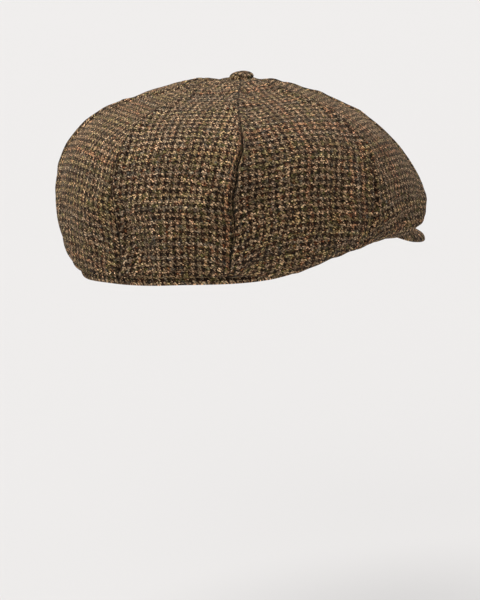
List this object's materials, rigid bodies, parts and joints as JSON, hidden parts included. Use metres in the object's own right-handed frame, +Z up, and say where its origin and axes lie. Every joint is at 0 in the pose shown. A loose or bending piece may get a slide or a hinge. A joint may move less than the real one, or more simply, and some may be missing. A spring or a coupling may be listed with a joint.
{
  "type": "newsboy cap",
  "caption": "Full newsboy cap in checked wool tweed: panelled crown meeting under a covered button, slim headband, lining, sweatband and a short stiff peak held by a press stud.",
  "frame": {"origin": "middle of the head opening, in the plane of the headband's lower edge", "axes": "+X to the front (the peak), +Y to the wearer's left, +Z up through the crown"},
  "size_m": [0.2569, 0.24, 0.1327],
  "materials": {
    "tweed": "brushed wool tweed, small two-tone check in tan and dark brown with rust, olive and blue-grey flecks",
    "lining": "smooth satin lining, dark brown",
    "sweatband_ribbon": "ribbed cotton ribbon, very dark brown",
    "peak_board": "matte moulded sheet",
    "button_metal": "bare pressed sheet",
    "snap_metal": "black lacquer, satin"
  },
  "bodies": {
    "crown": {"crown_panel_front_left": "tweed", "crown_panel_side_front_left": "tweed", "crown_panel_side_back_left": "tweed", "crown_panel_back_left": "tweed", "crown_panel_back_right": "tweed", "crown_panel_side_back_right": "tweed", "crown_panel_side_front_right": "tweed", "crown_panel_front_right": "tweed", "lining_panel_front_left": "lining", "lining_panel_side_front_left": "lining", "lining_panel_side_back_left": "lining", "lining_panel_back_left": "lining", "lining_panel_back_right": "lining", "lining_panel_side_back_right": "lining", "lining_panel_side_front_right": "lining", "lining_panel_front_right": "lining", "headband": "tweed", "sweatband": "sweatband_ribbon", "button_cover": "tweed", "button_shell": "button_metal", "button_shank": "button_metal", "button_washer": "button_metal", "snap_socket": "snap_metal"},
    "peak": {"peak_top_cover": "tweed", "peak_board": "peak_board", "peak_under_cover": "tweed", "snap_stud": "snap_metal"}
  },
  "joints": [
    {"name": "peak_hinge", "type": "hinge", "parent": "crown", "child": "peak", "pos_m": [0.0739, 0, 0.0013], "axis": [0, 1, 0], "range_deg": [0, 12]}
  ]
}
